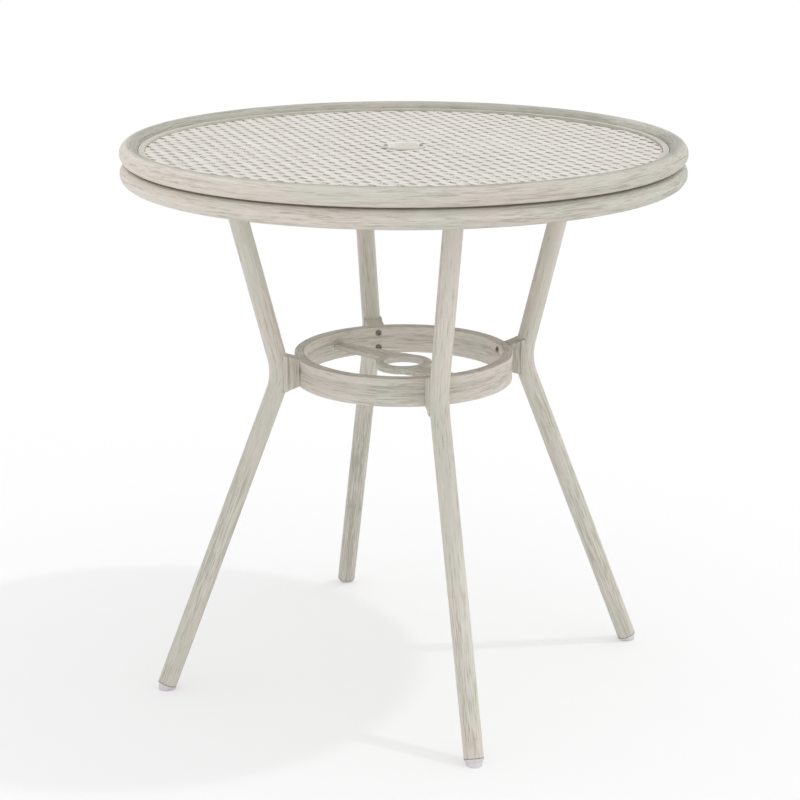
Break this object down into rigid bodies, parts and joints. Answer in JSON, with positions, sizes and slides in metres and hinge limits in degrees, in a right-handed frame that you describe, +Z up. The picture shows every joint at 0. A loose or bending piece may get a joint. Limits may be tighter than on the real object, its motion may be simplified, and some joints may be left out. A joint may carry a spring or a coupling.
{
  "type": "umbrella table",
  "caption": "Round outdoor table with a woven top in a double tube rim, bent tube legs drawn in to a flat ring, and an umbrella hole above a pole collar.",
  "frame": {"origin": "on the floor under the middle of the table", "axes": "+Z up through the pole hole; +X and +Y along two of the four legs"},
  "size_m": [0.7619, 0.762, 0.762],
  "materials": {
    "whitewashed_frame": "matt whitewashed paint brushed along the tube over a warm grey ground",
    "hidden_frame": "plain matt paint of the same tone as the frame",
    "woven_strand": "flat woven resin strands, matt, off-white",
    "pale_plastic": "smooth moulded plastic, matt, pale",
    "glide_plastic": "moulded plastic, light grey, matt",
    "fastener_steel": "zinc-plated steel, satin"
  },
  "bodies": {
    "root": {"arm_hub_ring": "hidden_frame", "collar_arm_1": "whitewashed_frame", "collar_arm_2": "whitewashed_frame", "foot_glide_1": "glide_plastic", "foot_glide_2": "glide_plastic", "foot_glide_3": "glide_plastic", "foot_glide_4": "glide_plastic", "leg_block_1": "whitewashed_frame", "leg_block_2": "whitewashed_frame", "leg_block_3": "whitewashed_frame", "leg_block_4": "whitewashed_frame", "leg_plate_bolts": "fastener_steel", "leg_top_plate_1": "hidden_frame", "leg_top_plate_2": "hidden_frame", "leg_top_plate_3": "hidden_frame", "leg_top_plate_4": "hidden_frame", "leg_tube_1": "whitewashed_frame", "leg_tube_2": "whitewashed_frame", "leg_tube_3": "whitewashed_frame", "leg_tube_4": "whitewashed_frame", "lower_rim_ring": "whitewashed_frame", "middle_ring": "whitewashed_frame", "panel_frame_ring": "whitewashed_frame", "panel_hub_ring": "hidden_frame", "panel_screws": "fastener_steel", "panel_spoke_1": "hidden_frame", "panel_spoke_2": "hidden_frame", "panel_spoke_3": "hidden_frame", "panel_spoke_4": "hidden_frame", "pole_collar": "whitewashed_frame", "pole_hole_sleeve": "pale_plastic", "rim_seam_ring": "whitewashed_frame", "ring_screws": "fastener_steel", "rivet_nuts": "fastener_steel", "support_arm_1": "hidden_frame", "support_arm_2": "hidden_frame", "support_arm_3": "hidden_frame", "support_arm_4": "hidden_frame", "upper_rim_ring": "whitewashed_frame", "woven_top_panel": "woven_strand"}
  },
  "joints": []
}
